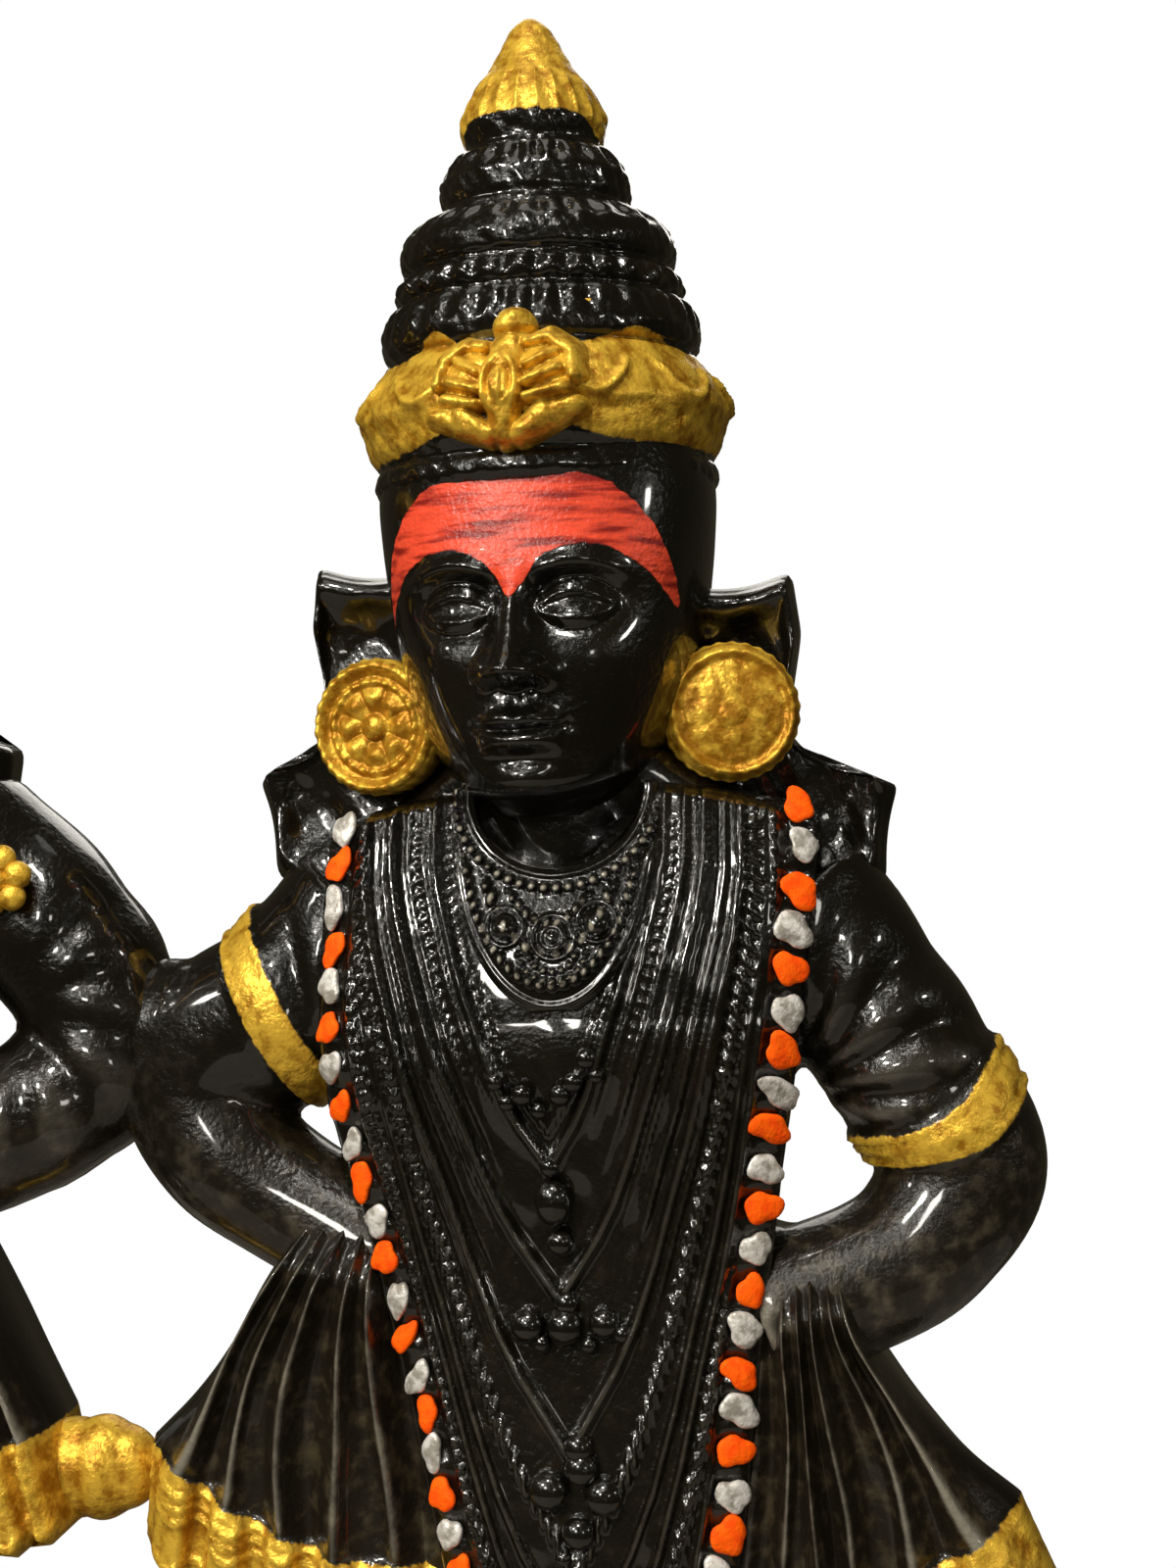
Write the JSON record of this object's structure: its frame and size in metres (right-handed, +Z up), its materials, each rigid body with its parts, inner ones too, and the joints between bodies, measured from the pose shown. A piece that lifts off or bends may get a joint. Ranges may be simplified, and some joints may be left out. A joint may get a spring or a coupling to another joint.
{
  "type": "vitthal rukmini figure",
  "caption": "Two crowned deities standing with hands on hips, cast as one with a low stepped base and painted black and gold; a shelf or shrine figure.",
  "frame": {"origin": "centre of the base's underside", "axes": "+Z up, the figures face -Y, Vitthal stands on the +X side and Rukmini on the -X side"},
  "size_m": [0.218, 0.074, 0.3],
  "materials": {
    "black_enamel": "thick glossy black enamel, brushed on",
    "gold_paint": "brushed gold paint, uneven, with black showing through",
    "red_paint": "thin brushed red paint, satin",
    "orange_paint": "flat orange paint dabs, satin",
    "silver_paint": "silver paint dabs, satin"
  },
  "bodies": {
    "root": {"figure_pair": "black_enamel"}
  },
  "joints": []
}
